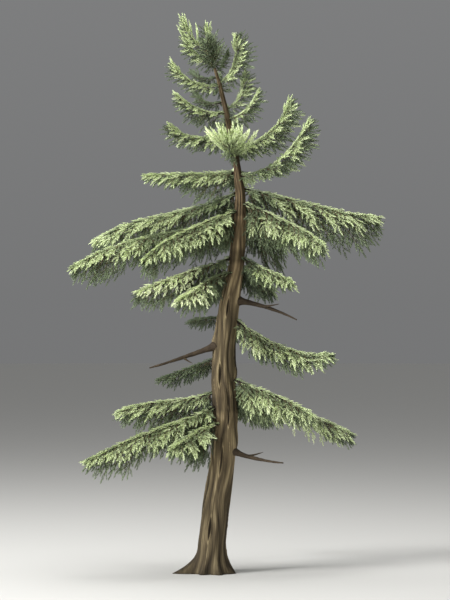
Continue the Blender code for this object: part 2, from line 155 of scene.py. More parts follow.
# %% Trunk and boughs
# Trunk: height, centre x, centre y and radius.
TRUNK = (
    (0.00, 0.00, 0.00, 0.300),
    (0.70, 0.04, 0.00, 0.292),
    (1.50, 0.14, 0.03, 0.290),
    (2.40, 0.27, 0.05, 0.262),
    (3.30, 0.33, 0.04, 0.258),
    (4.10, 0.29, 0.00, 0.262),
    (4.90, 0.31, -0.03, 0.240),
    (5.75, 0.41, -0.04, 0.210),
    (6.60, 0.56, -0.02, 0.164),
    (7.50, 0.64, 0.02, 0.146),
    (8.15, 0.65, 0.05, 0.104),
    (8.70, 0.58, 0.06, 0.078),
    (9.40, 0.45, 0.05, 0.068),
    (10.00, 0.32, 0.03, 0.054),
    (10.50, 0.20, 0.01, 0.042),
    (10.90, 0.07, 0.00, 0.031),
    (11.20, -0.09, 0.00, 0.022),
)
# Root toes: azimuth, reach beyond the trunk, height, half width in degrees.
TOES = (
    (185, 0.52, 0.56, 19),
    (352, 0.27, 0.74, 26),
    (300, 0.17, 0.50, 17),
    (245, 0.13, 0.45, 18),
    (120, 0.20, 0.55, 22),
    (60, 0.22, 0.60, 20),
)
# Swellings (and two long hollows) of the bark: height, azimuth, size, half width in degrees, half height.
SWELLINGS = (
    (4.30, 345, 0.045, 26, 0.16),
    (2.85, 350, 0.030, 40, 0.22),
    (4.98, 195, 0.035, 26, 0.14),
    (5.85, 340, 0.030, 28, 0.14),
    (2.72, 335, 0.030, 24, 0.12),
    (4.20, 258, -0.035, 13, 0.26),
    (0.95, 262, -0.035, 11, 0.32),
)

# Boughs with foliage: name, root height, azimuth, reach, rise, slope at the root, slope at the tip,
# length of the hanging sprays, length of the side sprays, length of the bare limb (0 for none).
BOUGHS = (
    ("leader_tip", 11.12, 182, 0.54, 0.72, 46, 78, 0.18, 0.26, 0),
    ("crown_left", 10.92, 178, 0.60, 0.60, 22, 78, 0.28, 0.28, 0),
    ("crown_upright", 11.00, 200, 0.10, 0.73, 70, 88, 0.26, 0.24, 0),
    ("crown_front", 10.80, 250, 0.42, 0.60, 20, 80, 0.36, 0.40, 0),
    ("crown_back", 10.90, 86, 0.40, 0.50, 20, 80, 0.30, 0.36, 0),
    ("high_right_back", 10.74, 40, 0.34, 0.44, 20, 60, 0.18, 0.18, 0),
    ("top_left", 10.45, 188, 1.04, 0.46, -14, 60, 0.34, 0.32, 0),
    ("top_left_back", 10.62, 135, 0.84, 0.20, -8, 40, 0.20, 0.22, 0),
    ("top_right", 10.50, 350, 0.34, 0.98, 28, 104, 0.48, 0.40, 0),
    ("top_back", 10.38, 92, 0.70, 0.36, -5, 55, 0.28, 0.28, 0),
    ("second_right", 9.95, 25, 0.47, 0.80, 8, 80, 0.38, 0.30, 0),
    ("second_left", 9.85, 190, 1.10, 0.40, -6, 46, 0.34, 0.32, 0),
    ("second_left_back", 10.10, 142, 0.84, 0.26, -15, 50, 0.24, 0.26, 0),
    ("second_right_front", 9.74, 332, 0.74, 0.55, 0, 68, 0.34, 0.30, 0),
    ("second_back", 9.66, 92, 1.00, 0.42, -5, 50, 0.32, 0.32, 0),
    ("third_left", 9.34, 188, 1.35, 0.24, 0, 46, 0.38, 0.36, 0),
    ("third_front", 8.96, 262, 0.86, 0.16, -12, 40, 0.46, 1.00, 0),
    ("third_right", 9.04, 350, 1.19, 1.07, 17, 80, 0.62, 0.54, 0),
    ("third_back", 9.13, 84, 1.35, 0.38, -10, 50, 0.36, 0.38, 0),
    ("fourth_left", 8.58, 174, 2.00, -0.05, -3, -4, 0.66, 0.46, 0),
    ("fourth_right", 8.52, 333, 1.65, 1.12, -4, 66, 0.62, 0.49, 0),
    ("fourth_back", 8.66, 92, 1.80, 0.10, -10, 15, 0.42, 0.42, 0),
    ("mid_left_high", 8.17, 165, 3.34, -1.05, -25, -31, 0.74, 0.62, 0.20),
    ("mid_right_high", 8.23, 6, 3.04, -0.59, -9, -4, 1.04, 0.60, 0.20),
    ("mid_right_front", 7.93, 322, 2.22, -0.94, -16, -30, 0.90, 0.56, 0.18),
    ("mid_left_front", 7.78, 219, 2.66, -1.12, -16, -34, 1.00, 0.58, 0.20),
    ("mid_left_long", 7.58, 192, 3.64, -1.06, -16, -34, 1.02, 0.64, 0.24),
    ("mid_back", 8.02, 98, 2.60, -0.85, -12, -30, 0.66, 0.58, 0),
    ("mid_right_back", 7.58, 42, 1.18, -0.42, -14, -28, 0.80, 0.56, 0),
    ("mid_left_back", 7.52, 132, 2.00, -0.50, -8, -16, 0.46, 0.50, 0),
    ("low_left", 6.80, 197, 2.20, -0.78, -22, -25, 0.70, 0.52, 0.16),
    ("low_left_front", 6.46, 234, 2.02, -0.62, -10, -24, 0.74, 0.54, 0),
    ("low_right_front", 6.80, 316, 1.64, -0.58, -20, -18, 0.58, 0.48, 0),
    ("low_right_back", 6.58, 60, 1.60, -0.58, -12, -36, 0.52, 0.46, 0),
    ("low_back", 6.46, 112, 1.80, -0.50, -10, -26, 0.50, 0.50, 0),
    ("small_left_back", 5.49, 146, 1.00, -0.12, -5, -15, 0.26, 0.28, 0),
    ("lone_right", 5.54, 343, 2.28, -0.84, -37, 6, 0.86, 0.54, 0.14),
    ("lone_back", 5.40, 88, 1.70, -0.36, -10, -14, 0.38, 0.32, 0),
    ("shade_left_back", 4.62, 157, 1.52, -0.49, -14, -20, 0.42, 0.40, 0),
    ("skirt_left_high", 3.98, 170, 2.34, -0.56, -30, -24, 0.78, 0.52, 0.18),
    ("skirt_left_long", 3.64, 203, 3.14, -1.17, -25, -30, 0.90, 0.62, 0.20),
    ("skirt_left_front", 3.26, 234, 1.90, -0.52, -12, -28, 0.80, 0.54, 0),
    ("skirt_right_front", 4.20, 328, 2.20, -0.78, -14, -28, 0.76, 0.52, 0),
    ("skirt_right_long", 3.97, 8, 2.78, -1.01, -17, -28, 0.74, 0.56, 0.18),
    ("skirt_right_back", 3.98, 66, 2.40, -0.80, -12, -30, 0.60, 0.52, 0),
    ("skirt_left_back", 3.62, 120, 2.40, -0.85, -12, -32, 0.60, 0.52, 0),
)
# Dead limbs, bare of needles: name, root height, azimuth, reach, rise, slopes at root and tip, then where
# along it the side twig leaves, its length, its turn to the side and its rise in degrees.
DEAD_LIMBS = (
    ("dead_limb_right_high", 5.85, 341, 1.50, -0.42, -4, -24, 0.48, 0.46, -24, 6),
    ("dead_limb_left", 4.95, 196, 1.66, -0.54, -22, -16, 0.56, 0.24, 150, -30),
    ("dead_limb_right_low", 2.72, 336, 1.40, -0.32, -26, -2, 0.40, 0.36, 24, 14),
)
print(len(BOUGHS), "boughs with needles and", len(DEAD_LIMBS), "dead limbs")

# %% [markdown]
# ## Bark
#
# Old spruce bark shows flowing strands with grooves between, which part and meet again round long
# lens-shaped hollows. It could be sculpted by hand. Here a cylinder is cut into fine rings instead, and
# one rule moves every point: first to the shape of the trunk, with its root toes and swellings, and then
# in or out by the height of the strands there. That height is kept with each point, because the colour of
# the bark follows it.


# %% The trunk's surface
def trunk_middle(height):
    """Centre x, centre y and radius of the trunk at a height, or at many heights."""
    rows = np.array(TRUNK)
    return [np.interp(height, rows[:, 0], rows[:, k]) for k in (1, 2, 3)]


def turn_between(a, b):
    return (a - b + 180) % 360 - 180


def trunk_reach(height, azimuth):
    """Distance from the trunk's centre line to its bark."""
    reach = trunk_middle(height)[2]
    for toe, far, tall, wide in TOES:
        lobe = np.exp(-((turn_between(azimuth, toe) / wide) ** 2))
        reach = reach + far * lobe * np.clip(1 - height / tall, 0, 1) ** 2.2
    for middle, side, size, wide, tall in SWELLINGS:
        off = (turn_between(azimuth, side) / wide) ** 2 + ((height - middle) / tall) ** 2
        reach = reach + size * np.exp(-off)
    return reach


# Their rims are painted pale by the colour ramp, as highlights.
# Hollows between strands, each with a raised rim: height, azimuth, half height, half width in degrees.
HOLLOWS = (
    (4.27, 250, 0.25, 7),
    (0.97, 253, 0.26, 6),
    (2.42, 264, 0.30, 6),
    (3.35, 286, 0.20, 5),
    (5.70, 262, 0.20, 7),
    (2.60, 95, 0.28, 7),
    (4.95, 60, 0.24, 7),
    (1.30, 150, 0.30, 6),
    (6.90, 200, 0.18, 8),
)


def strands(height, azimuth, count, twist, wander):
    """Rounded upright strands with grooves between: 0 in a groove, 1 on a crest."""
    slow = np.sin(1.9 * height + np.radians(2 * azimuth) + count)
    quick = 0.6 * np.sin(4.3 * height - np.radians(azimuth))
    drift = twist * height + wander * (slow + quick)
    return np.abs(np.sin(pi * (count * azimuth / 360 + drift))) ** 0.7


def painted_highlight_crests(height, azimuth):
    """Thin crests that the bark paints pale as highlights, which come and go along the trunk."""
    line = 1 - strands(height, azimuth, 11, 0.22, 0.26)
    comes = np.clip(1.5 * np.sin(2.1 * height + np.radians(3 * azimuth)) - 0.2, 0, 1)
    return comes * np.clip((line - 0.66) / 0.34, 0, 1) ** 1.5


def bark_height(height, azimuth):
    """The relief of the bark, about 0 in the grooves and 1 on the crests."""
    broad = strands(height, azimuth, 7, 0.22, 0.34)
    crossed = strands(height, azimuth, 12, -0.36, 0.24)
    fibres = strands(height, azimuth, 43, 0.9, 0.5)
    # The thin crests are raised, and the colour ramp paints them pale as highlights.
    relief = 0.45 * broad + 0.27 * crossed + 0.16 * fibres + 0.45 * painted_highlight_crests(height, azimuth)
    for middle, side, tall, wide in HOLLOWS:
        off = np.sqrt((turn_between(azimuth, side) / wide) ** 2 + ((height - middle) / tall) ** 2)
        floor_share = 1 - 0.9 * np.exp(-((off / 0.8) ** 4))
        rim = 0.35 * np.exp(-(((off - 1.1) / 0.2) ** 2))
        relief = relief * floor_share + rim
    return relief


print("bark at breast height:", round(float(trunk_reach(1.3, 270)), 3), "m from the centre")

# %% The trunk
BARK_SIDES = 168
BARK_CUTS = (99, 2)  # rings cut into the cylinder, and then between those
STRAND_DEPTH, DEEPEST_STRAND = 0.15, 0.036  # a share of the trunk's radius, and the most in metres
MEAN_RELIEF = 0.62  # bark of this height stands on the trunk's true radius


def mode(kind):
    bpy.ops.object.mode_set(mode=kind)


def pick(obj, kind, wanted):
    """Selects the edges or vertices that a rule names, and opens edit mode."""
    mode("EDIT")
    bpy.ops.mesh.select_mode(type=kind)
    bpy.ops.mesh.select_all(action="DESELECT")
    mode("OBJECT")
    for part in obj.data.edges if kind == "EDGE" else obj.data.vertices:
        part.select = wanted(part)
    mode("EDIT")


def upright(edge):
    low, high = (trunk.data.vertices[v].co for v in edge.vertices)
    return abs(low.z - high.z) > 0.001


trunk_top = TRUNK[-1][0]
half_way = (0, 0, trunk_top / 2)
bpy.ops.mesh.primitive_cylinder_add(vertices=BARK_SIDES, radius=1, depth=trunk_top, location=half_way)
trunk = bpy.context.object
trunk.name = "trunk_bark"
bpy.ops.object.transform_apply(location=True)
for cuts in BARK_CUTS:
    pick(trunk, "EDGE", upright)
    bpy.ops.mesh.subdivide(number_cuts=cuts)
    mode("OBJECT")

points = np.empty(3 * len(trunk.data.vertices), np.float32)
trunk.data.vertices.foreach_get("co", points)
points = points.reshape(-1, 3).astype(float)
azimuth = np.degrees(np.arctan2(points[:, 1], points[:, 0]))
heights = points[:, 2].copy()
centre_x, centre_y, radius = trunk_middle(heights)
relief = bark_height(heights, azimuth)
depth = np.minimum(STRAND_DEPTH * radius, DEEPEST_STRAND)
reach = trunk_reach(heights, azimuth) + depth * (relief - MEAN_RELIEF)
points[:, 0] = centre_x + reach * np.cos(np.radians(azimuth))
points[:, 1] = centre_y + reach * np.sin(np.radians(azimuth))
trunk.data.vertices.foreach_set("co", points.astype(np.float32).ravel())
trunk.data.update()
kept = trunk.data.attributes.new("relief", "FLOAT", "POINT")
kept.data.foreach_set("value", relief.astype(np.float32))
trunk.data.shade_smooth()
print("trunk of", len(trunk.data.polygons), "faces")

# %% [markdown]
# ## The colour of bark
#
# Bark is brown in its grooves and tan on its crests, and the palest tan there is a painted highlight. Along
# the height it is darker at the root, and darker and a little redder in the top. It also carries painted
# light: it is lighter where the boughs shade the trunk and darker where the lamps light it fully, with dark
# rings of painted shade below three whorls. It could be painted by hand. Here two colour ramps do it, one
# for the relief and one for the height, so that the colour follows any change of shape. A noise stretched
# along the trunk breaks it up. A finer one only bends the light, as the flakes of the bark do. The same
# recipe with greyer steps makes dead wood.


# %% Bark material
# Each row is a height, and the share of the red, green and blue of the bark that shows there. Besides a
# darker root and a redder top, the shares are painted light: high where the boughs shade the trunk and low
# where the lamps light it fully. The dark rings below three whorls are painted shade.
BARK_TINT_AND_PAINTED_LIGHT_BY_HEIGHT = (
    (0.00, 0.26, 0.26, 0.26), (0.35, 0.34, 0.34, 0.34), (0.64, 0.40, 0.40, 0.40),
    (1.10, 0.42, 0.42, 0.42), (1.60, 0.50, 0.50, 0.50), (2.06, 0.64, 0.64, 0.64),
    (2.50, 0.84, 0.84, 0.84), (3.00, 0.80, 0.80, 0.80), (3.40, 0.54, 0.53, 0.52),
    (3.50, 0.28, 0.27, 0.26), (3.75, 0.28, 0.27, 0.26), (3.85, 0.42, 0.41, 0.40),
    (4.40, 0.42, 0.42, 0.41), (4.90, 0.39, 0.39, 0.38), (5.36, 0.54, 0.54, 0.53),
    (5.80, 0.78, 0.77, 0.76), (6.30, 1.00, 0.98, 0.96), (6.62, 0.94, 0.90, 0.88),
    (6.68, 0.42, 0.40, 0.38), (6.88, 0.42, 0.40, 0.38), (6.98, 0.88, 0.84, 0.82),
    (7.60, 0.88, 0.82, 0.79), (7.68, 0.38, 0.35, 0.33), (7.86, 0.38, 0.35, 0.33),
    (7.96, 0.46, 0.42, 0.40), (8.40, 0.36, 0.33, 0.31), (8.70, 0.28, 0.25, 0.24),
    (9.30, 0.38, 0.35, 0.33), (10.8, 0.36, 0.34, 0.32),
)
SHEEN = 0.25
BLOTCHES, RAMP_SHARE = 0.75, 0.6  # noise added to the relief, and the share of the sum that is looked up
BLOTCH_NOISE, FLAKE_NOISE = (9, 4), (26, 6)  # scale and detail


def bark_material(name, steps, roughness, stretch, flake, levels):
    """Bark from steps (place on the ramp of relief, colour) and levels (height, shares of the colour, which
    for the trunk hold painted light).
    """
    material = bpy.data.materials.new(name)
    material.use_nodes = True
    nodes, links = material.node_tree.nodes, material.node_tree.links
    surface = nodes["Principled BSDF"]
    surface.inputs["Roughness"].default_value = roughness
    surface.inputs["Specular IOR Level"].default_value = SHEEN

    def node(kind, **links_in):
        """A node with outputs of other nodes linked into its inputs."""
        made = nodes.new("ShaderNode" + kind)
        for socket, source in links_in.items():
            links.new(source, made.inputs[socket])
        return made

    def noise(scale, detail):
        pattern = node("TexNoise", Vector=mapping.outputs["Vector"])
        pattern.inputs["Scale"].default_value, pattern.inputs["Detail"].default_value = scale, detail
        return pattern.outputs["Fac"]

    def ramp(source, stops):
        made = node("ValToRGB", Fac=source)
        bands = made.color_ramp.elements
        bands.remove(bands[1])
        for k, (spot, colour) in enumerate(stops):
            band = bands[0] if k == 0 else bands.new(spot)
            band.position, band.color = spot, (*colour, 1)
        return made.outputs["Color"]

    place = node("TexCoord").outputs["Object"]
    mapping = node("Mapping", Vector=place)
    mapping.inputs["Scale"].default_value = stretch
    relief = node("Attribute")
    relief.attribute_name = "relief"
    mixed = node("Math")
    mixed.operation = "MULTIPLY_ADD"
    mixed.inputs[1].default_value = BLOTCHES
    links.new(noise(*BLOTCH_NOISE), mixed.inputs[0])
    links.new(relief.outputs["Fac"], mixed.inputs[2])
    scaled = node("Math")
    scaled.operation = "MULTIPLY"
    scaled.inputs[1].default_value = RAMP_SHARE
    links.new(mixed.outputs[0], scaled.inputs[0])
    share = node("MapRange", Value=node("SeparateXYZ", Vector=place).outputs["Z"])
    share.inputs["From Max"].default_value = trunk_top
    # The height ramp multiplies in the tint by height, with the painted light and shade of the trunk.
    height_tint_and_painted_light = node("Mix")
    height_tint_and_painted_light.data_type, height_tint_and_painted_light.blend_type = "RGBA", "MULTIPLY"
    height_tint_and_painted_light.inputs["Factor"].default_value = 1
    by_relief = ramp(scaled.outputs[0], [(spot, linear(colour)) for spot, colour in steps])
    by_height = ramp(share.outputs["Result"], [(level / trunk_top, rest) for level, *rest in levels])
    links.new(by_relief, height_tint_and_painted_light.inputs["A"])
    links.new(by_height, height_tint_and_painted_light.inputs["B"])
    links.new(height_tint_and_painted_light.outputs["Result"], surface.inputs["Base Color"])
    bump = node("Bump", Height=noise(*FLAKE_NOISE))
    bump.inputs["Distance"].default_value = flake
    links.new(bump.outputs["Normal"], surface.inputs["Normal"])
    return material


# The steps of relief run from the dark brown of the grooves to a pale tan, which is a painted highlight on
# crests and rims.
bark = bark_material(
    "bark_relief",
    (
        (0.22, (46, 38, 29)), (0.36, (74, 64, 48)), (0.52, (106, 93, 71)), (0.66, (134, 118, 89)),
        (0.82, (208, 188, 146)),
    ),
    0.9,
    (1, 1, 0.16),
    0.012,
    BARK_TINT_AND_PAINTED_LIGHT_BY_HEIGHT,
)
dead_wood = bark_material(
    "dead_wood_relief",
    ((0.15, (54, 45, 35)), (0.45, (84, 72, 56)), (0.75, (110, 95, 74)), (0.95, (138, 122, 97))),
    0.85,
    (1, 1, 1),
    0.006,
    ((0.0, 1, 1, 1), (5.2, 1, 1, 1), (5.5, 0.85, 0.84, 0.82)),
)
trunk.data.materials.append(bark)
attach(trunk, "root")
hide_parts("trunk")
print("materials:", bark.name, dead_wood.name)

# %% [markdown]
# ## The rule of a bough
#
# A bough is a curve in the upright plane of its own direction. It leaves the heart of the trunk at one
# slope and reaches its tip at another. The wood, the twigs and the needles all ask this curve for a place,
# so that they stay together.


# %% Bough curves
BOW = 0.36  # how stiffly a bough's line leaves and arrives, in lengths of its chord
SWAY, SWAY_TURNS = 0.03, 1.3  # its wander to the sides, in lengths of its reach, and how often
STEM_RADIUS = (0.012, 0.0105)  # at the root: a constant and a share of the reach
STEM_TAPER = 0.78
COLLAR, COLLAR_LENGTH = 0.4, 0.10  # how much thicker a bough is at the bark, and how soon that fades
MOST_THICK = 0.55  # of the trunk's own radius
DEAD_GIRTH = 2.45  # a dead limb is an old one, and so much thicker than a live one of its reach
DOWN = Vector((0, 0, -1))
STOPS = 22


class Bough:
    """The centre line of a bough, from the trunk's heart to its tip."""

    def __init__(self, height, azimuth, reach, rise, root_slope, tip_slope, girth=1.0):
        x, y, bark = (float(v) for v in trunk_middle(height))
        turn = radians(azimuth)
        self.out = Vector((cos(turn), sin(turn), 0))
        self.side = Vector((-sin(turn), cos(turn), 0))
        handle = BOW * hypot(reach, rise)
        a, b = radians(root_slope), radians(tip_slope)
        flat = (
            (0, 0),
            (handle * cos(a), handle * sin(a)),
            (reach - handle * cos(b), rise - handle * sin(b)),
            (reach, rise),
        )
        root = Vector((x, y, height))
        self.line = []
        for k in range(STOPS + 1):
            t = k / STOPS
            share = ((1 - t) ** 3, 3 * t * (1 - t) ** 2, 3 * t * t * (1 - t), t**3)
            along, up = (sum(w * p[i] for w, p in zip(share, flat)) for i in (0, 1))
            sway = SWAY * reach * sin(2 * SWAY_TURNS * pi * t + azimuth) * t
            self.line.append(root + along * self.out - up * DOWN + sway * self.side)
        steps = [(q - p).length for p, q in zip(self.line, self.line[1:])]
        self.far = [sum(steps[:k]) for k in range(STOPS + 1)]
        self.length = self.far[-1]
        self.columns = np.array(self.line).T
        self.bark = bark
        self.radius = girth * (STEM_RADIUS[0] + STEM_RADIUS[1] * reach)

    def at(self, distance):
        return Vector([float(np.interp(distance, self.far, column)) for column in self.columns])

    def ahead(self, distance):
        step = 0.03 * self.length
        return (self.at(distance + step) - self.at(distance - step)).normalized()

    def under(self, distance):
        """Down, leaning to the outer side where the bough sweeps up."""
        return (self.side.cross(self.ahead(distance)) + 0.5 * DOWN).normalized()

    def thick(self, distance):
        flare = 1 + COLLAR * exp(-max(0, distance - self.bark) / COLLAR_LENGTH)
        taper = 1 - STEM_TAPER * distance / self.length
        return min(self.radius * taper * flare, MOST_THICK * self.bark)


boughs = {row[0]: Bough(*row[1:7]) for row in BOUGHS}
dead = {row[0]: Bough(*row[1:7], girth=DEAD_GIRTH) for row in DEAD_LIMBS}
lengths = [round(bough.length, 1) for bough in boughs.values()]
print("boughs of", min(lengths), "to", max(lengths), "m")

# %% [markdown]
# ## Wood of the boughs
#
# A limb is drawn as a path with a radius at each point, which gives its taper and its collar at the trunk.
# The path becomes a mesh, and a Displace modifier presses coarse knobs into it; a dead limb gets a second
# one with fine flakes. The live boughs run through their needles to the tip.


# %% Limbs
def path_mesh(name, stops, radii, roundness):
    """A tapering rod along a path, as a mesh."""
    bpy.ops.curve.primitive_nurbs_path_add(location=(0, 0, 0))
    path = bpy.context.object
    path.name = name
    path.data.splines.clear()
    line = path.data.splines.new("POLY")
    line.points.add(len(stops) - 1)
    for point, stop, radius in zip(line.points, stops, radii):
        point.co, point.radius = (*stop, 1), radius
    path.data.bevel_depth, path.data.bevel_resolution = 1, roundness
    path.data.use_fill_caps = True
    bpy.ops.object.convert(target="MESH")
    return bpy.context.object


def press(obj, name, size, strength):
    """Pushes the surface in and out by a cloudy pattern."""
    clouds = bpy.data.textures.new(name, "CLOUDS")
    clouds.noise_scale = size
    bumps = obj.modifiers.new(name, "DISPLACE")
    bumps.texture, bumps.texture_coords, bumps.strength = clouds, "GLOBAL", strength
    bpy.context.view_layer.objects.active = obj
    bpy.ops.object.modifier_apply(modifier=name)


def joined(name, pieces):
    bpy.ops.object.select_all(action="DESELECT")
    for piece in pieces:
        piece.select_set(True)
    bpy.context.view_layer.objects.active = pieces[0]
    bpy.ops.object.join()
    whole = bpy.context.object
    whole.name = whole.data.name = name
    return whole


SLIMMER, SLIMMER_BY = 0.5, 0.15  # a live bough loses this share of its radius, over these metres
DEAD_FOOT, FOOT_LENGTH = 0.35, 0.12  # how far the foot of a dead limb widens, and how soon that fades
SUNK = 0.3  # share of the trunk's radius where a limb starts
LIVE_END = 0.97  # share of a live bough's length that is wood
LIVE_STEP, DEAD_STEP = 0.07, 0.04  # metres between the rings of a limb


def limb_wood(name, bough, end, roundness, step, slimmer=0.0, foot=0.0):
    """A limb from inside the trunk to its end, slimmer past the bark or widened by a foot at it."""
    start = SUNK * bough.bark
    count = max(6, round((end - start) / step))
    marks = [start + (end - start) * k / count for k in range(count + 1)]
    past = [max(0, m - bough.bark) for m in marks]
    girths = [1 - slimmer * min(1, p / SLIMMER_BY) + foot * exp(-p / FOOT_LENGTH) for p in past]
    radii = [g * bough.thick(m) * min(1, (m / bough.bark) ** 1.5) for g, m in zip(girths, marks)]
    return path_mesh(name, [bough.at(m) for m in marks], radii, roundness)


live_pieces = []
for name, bough in boughs.items():
    live_pieces.append(limb_wood(name, bough, LIVE_END * bough.length, 2, LIVE_STEP, SLIMMER))
live_wood = joined("bough_wood", live_pieces)
press(live_wood, "knobs", 0.12, 0.010)
live_wood.data.shade_smooth()
live_wood.data.materials.append(bark)
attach(live_wood, "root")
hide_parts(*[row[0] + "_limb" for row in BOUGHS if row[-1]])
print("bough wood of", len(live_wood.data.polygons), "faces")

# %% Dead limbs
TWIG_SAG, TWIG_STOPS = 0.10, 8  # how far a side twig sags, in its own lengths, and its steps
for name, *_, mark, length, turn, rise in DEAD_LIMBS:
    bough = dead[name]
    limb = limb_wood(name + "_wood", bough, bough.length, 3, DEAD_STEP, foot=DEAD_FOOT)
    root = bough.at(mark * bough.length)
    swing = radians(turn)
    aim = cos(swing) * bough.out + sin(swing) * bough.side
    aim = (aim - tan(radians(rise)) * DOWN).normalized()
    thick = 0.7 * bough.thick(mark * bough.length)
    reaches = [k / TWIG_STOPS for k in range(TWIG_STOPS + 1)]
    stops = [root + r * length * aim + TWIG_SAG * length * r * (1 - r) * DOWN for r in reaches]
    twig = path_mesh("side_twig", stops, [thick * (1 - 0.8 * r) for r in reaches], 3)
    limb = joined(name + "_wood", [limb, twig])
    press(limb, "knobs", 0.09, 0.012)
    press(limb, "flakes", 0.02, 0.005)
    limb.data.shade_smooth()
    limb.data.materials.append(dead_wood)
    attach(limb, "root")
    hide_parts(name)
print(len(DEAD_LIMBS), "dead limbs")

# %% [markdown]
# ## One needle, one shoot
#
# A needle is a flat diamond, folded along its middle so that it catches light on one half at a time. Two
# faces are enough, because it is a few pixels long in any picture of the tree. It is made once. A shoot is a
# thin twig with needles set round it in the golden angle, long and open at its root, short and pointing
# forward at its tip, so that it has the outline of a lance. Three are made, so that neighbours differ.


# %% Needle
NEEDLE_WIDTH = 0.26  # of its length
FOLD = (0, -0.14, 0.03)  # how far the corners at its sides are moved: toward its foot, and up
bpy.ops.mesh.primitive_plane_add(size=1)
needle = bpy.context.object
mode("EDIT")
bpy.ops.transform.rotate(value=pi / 4, orient_axis="Z", center_override=(0, 0, 0))
bpy.ops.transform.resize(value=(NEEDLE_WIDTH / 2**0.5, 1 / 2**0.5, 1), center_override=(0, 0, 0))
bpy.ops.transform.translate(value=(0, 0.5, 0))
mode("OBJECT")
pick(needle, "VERT", lambda corner: abs(corner.co.x) < 0.01)
bpy.ops.mesh.vert_connect()
mode("OBJECT")
pick(needle, "VERT", lambda corner: abs(corner.co.x) > 0.01)
bpy.ops.transform.translate(value=FOLD)
mode("OBJECT")


# Only its points and faces are wanted: they are copied below.
needle_points = np.array([v.co for v in needle.data.vertices])
needle_faces = np.array([p.vertices for p in needle.data.polygons])
bpy.data.objects.remove(needle, do_unlink=True)
print("needle:", len(needle_points), "points,", len(needle_faces), "faces")

# %% Shoot
NEEDLES = 17
GOLDEN_ANGLE = 137.508
NEEDLE_LEAN = (42, 13)  # degrees from the twig, at the shoot's root and tip
NEEDLE_LENGTH = (0.36, 0.27)  # of the shoot's length, at its root and tip
SHOOT_FLATNESS = 0.72
TWIG_WIDTH = 0.013
TRIANGLE = (0.5, 2.6, 4.7)  # where the three edges of a twig stand round it, in radians


def frame_of(ahead, across):
    """Rows across, ahead and up, square to each other."""
    across = across - (across * ahead).sum(-1, keepdims=True) * ahead
    across = across / np.linalg.norm(across, axis=-1, keepdims=True)
    return np.stack([across, ahead, np.cross(across, ahead)], axis=-2)


def between(ends, s):
    return ends[0] + s * (ends[1] - ends[0])


def shoot_shape(dice):
    """A shoot one long, along +Y."""
    points = []
    for k in range(NEEDLES):
        s = k / (NEEDLES - 1)
        turn = radians(GOLDEN_ANGLE * k + dice.uniform(-15, 15))
        lean = radians(between(NEEDLE_LEAN, s) + dice.uniform(-5, 5))
        length = between(NEEDLE_LENGTH, s) * dice.uniform(0.86, 1.1)
        out = np.array((cos(turn), 0, SHOOT_FLATNESS * sin(turn)))
        ahead = sin(lean) * out + cos(lean) * np.array((0, 1, 0))
        ahead /= np.linalg.norm(ahead)
        turned = frame_of(ahead, np.cross((0, 1, 0), out))
        points.append(np.array((0, 0.02 + 0.80 * s, 0)) + length * needle_points @ turned)
    faces = [needle_faces + k * len(needle_points) for k in range(NEEDLES)]
    return np.concatenate(points), np.concatenate(faces)


shoots = [shoot_shape(random.Random(seed)) for seed in (1, 2, 3)]
spike_foot = [(TWIG_WIDTH * cos(a), 0, TWIG_WIDTH * sin(a)) for a in TRIANGLE]
spike = np.array(spike_foot + [(0, 0.92, 0)])
spike_faces = np.array([(1, 0, 3), (2, 1, 3), (0, 2, 3)])
print("a shoot has", len(shoots[0][1]), "faces")

# %% [markdown]
# ## Room in the crown
#
# On a real tree each bough fills the space that its neighbours leave, and the gaps between boughs stay
# open. So a twig may grow only where it is nearer its own bough than any other, give or take a few
# centimetres, and clear of the bark. One that has no room is shortened, and left out when that isn't
# enough. The boughs of the topmost tuft grow through one another, and some big curtains reach down behind
# the boughs below them near the trunk, where a real crown is closed. Toward -Y the trunk stays in sight:
# nothing grows across it there but the boughs of the top and one that comes straight forward.


# %% Room for a twig
# How far past the middle to the next bough a twig may reach: usually, and on the boughs of the tuft.
SHARED_ROOM, TUFT_ROOM = 0.08, 0.40
# More is shared near the trunk by big boughs, on this part of their length, and still more by deep curtains.
INNER_ROOM, INNER_PART = 0.34, 0.32
DEEP_ROOM, DEEP_PART = 0.6, 0.6
BARK_ROOM = 0.02
TUFT = ("leader_tip", "crown_left", "crown_upright", "crown_front", "crown_back")
BEFORE_TRUNK = (*TUFT, "top_left", "top_right", "third_front")
DEEP_CURTAINS = (
    "second_left", "fourth_left", "mid_left_front", "mid_left_long", "mid_right_front", "mid_right_back",
    "skirt_left_front",
)
LINE_STOPS = 40  # places looked at along each bough

crown_lines = {**boughs, **dead}
line_points, line_owner = [], []
for number, bough in enumerate(crown_lines.values()):
    for mark in np.linspace(bough.bark, bough.length, LINE_STOPS):
        line_points.append(bough.at(mark))
        line_owner.append(number)
line_points, line_owner = np.array(line_points), np.array(line_owner)
line_number = {name: number for number, name in enumerate(crown_lines)}


def has_room(name, places, shared):
    """Whether the places belong to this bough and stand clear of the trunk."""
    places = np.array(places)
    gaps = np.linalg.norm(places[:, None] - line_points[None], axis=2)
    own = line_owner == line_number[name]
    if (gaps[:, ~own].min(axis=1) < gaps[:, own].min(axis=1) - shared).any():
        return False
    x, y, bark = trunk_middle(places[:, 2])
    off_x, off_y = places[:, 0] - x, places[:, 1] - y
    if name not in BEFORE_TRUNK and ((off_y < 0) & (abs(off_x) < bark)).any():
        return False
    return bool((np.hypot(off_x, off_y) > bark + BARK_ROOM).all())


print(len(line_points), "places along", len(crown_lines), "boughs")

